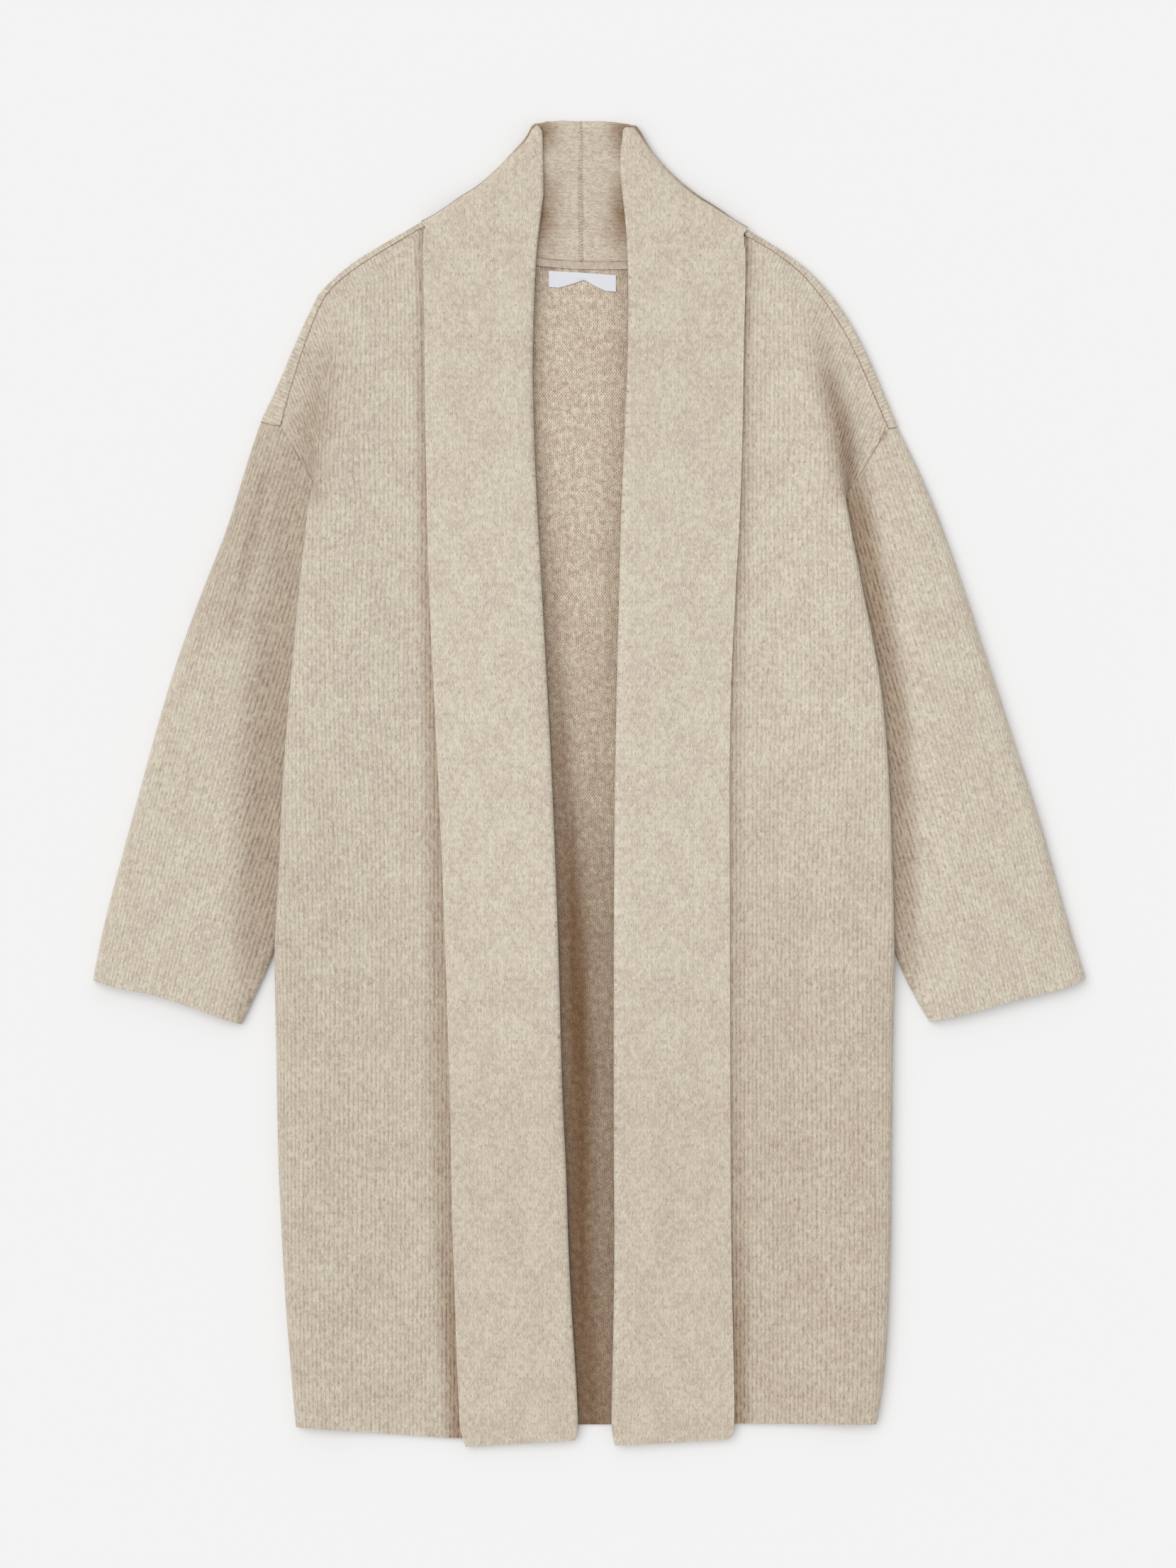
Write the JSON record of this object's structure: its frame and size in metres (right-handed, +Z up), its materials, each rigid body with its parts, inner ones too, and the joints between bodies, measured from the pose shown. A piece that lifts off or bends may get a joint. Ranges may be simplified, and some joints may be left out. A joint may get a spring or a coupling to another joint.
{
  "type": "cardigan coat",
  "caption": "Long open-front knitted cardigan coat with a folded-back shawl collar and wide drop-shoulder sleeves, laid flat on its back.",
  "frame": {"origin": "centre of the coat's box on the surface it lies on", "axes": "+Y towards the collar, +X towards the viewer's right, +Z up from the surface"},
  "size_m": [0.842, 1.1214, 0.0172],
  "materials": {
    "oatmeal_knit": "brushed oatmeal marl knit, soft and matt",
    "oatmeal_knit_inside": "inner face of the same knit, looped and matt",
    "neck_tape_knit": "narrow knitted tape, matt",
    "label_satin": "white woven satin, soft gloss"
  },
  "bodies": {
    "root": {"back": "oatmeal_knit_inside", "collar_left": "oatmeal_knit", "collar_right": "oatmeal_knit", "front_left": "oatmeal_knit", "front_right": "oatmeal_knit", "label": "label_satin", "neck_tape": "neck_tape_knit", "shoulder_left": "oatmeal_knit", "shoulder_right": "oatmeal_knit", "sleeve_left": "oatmeal_knit", "sleeve_right": "oatmeal_knit"}
  },
  "joints": []
}
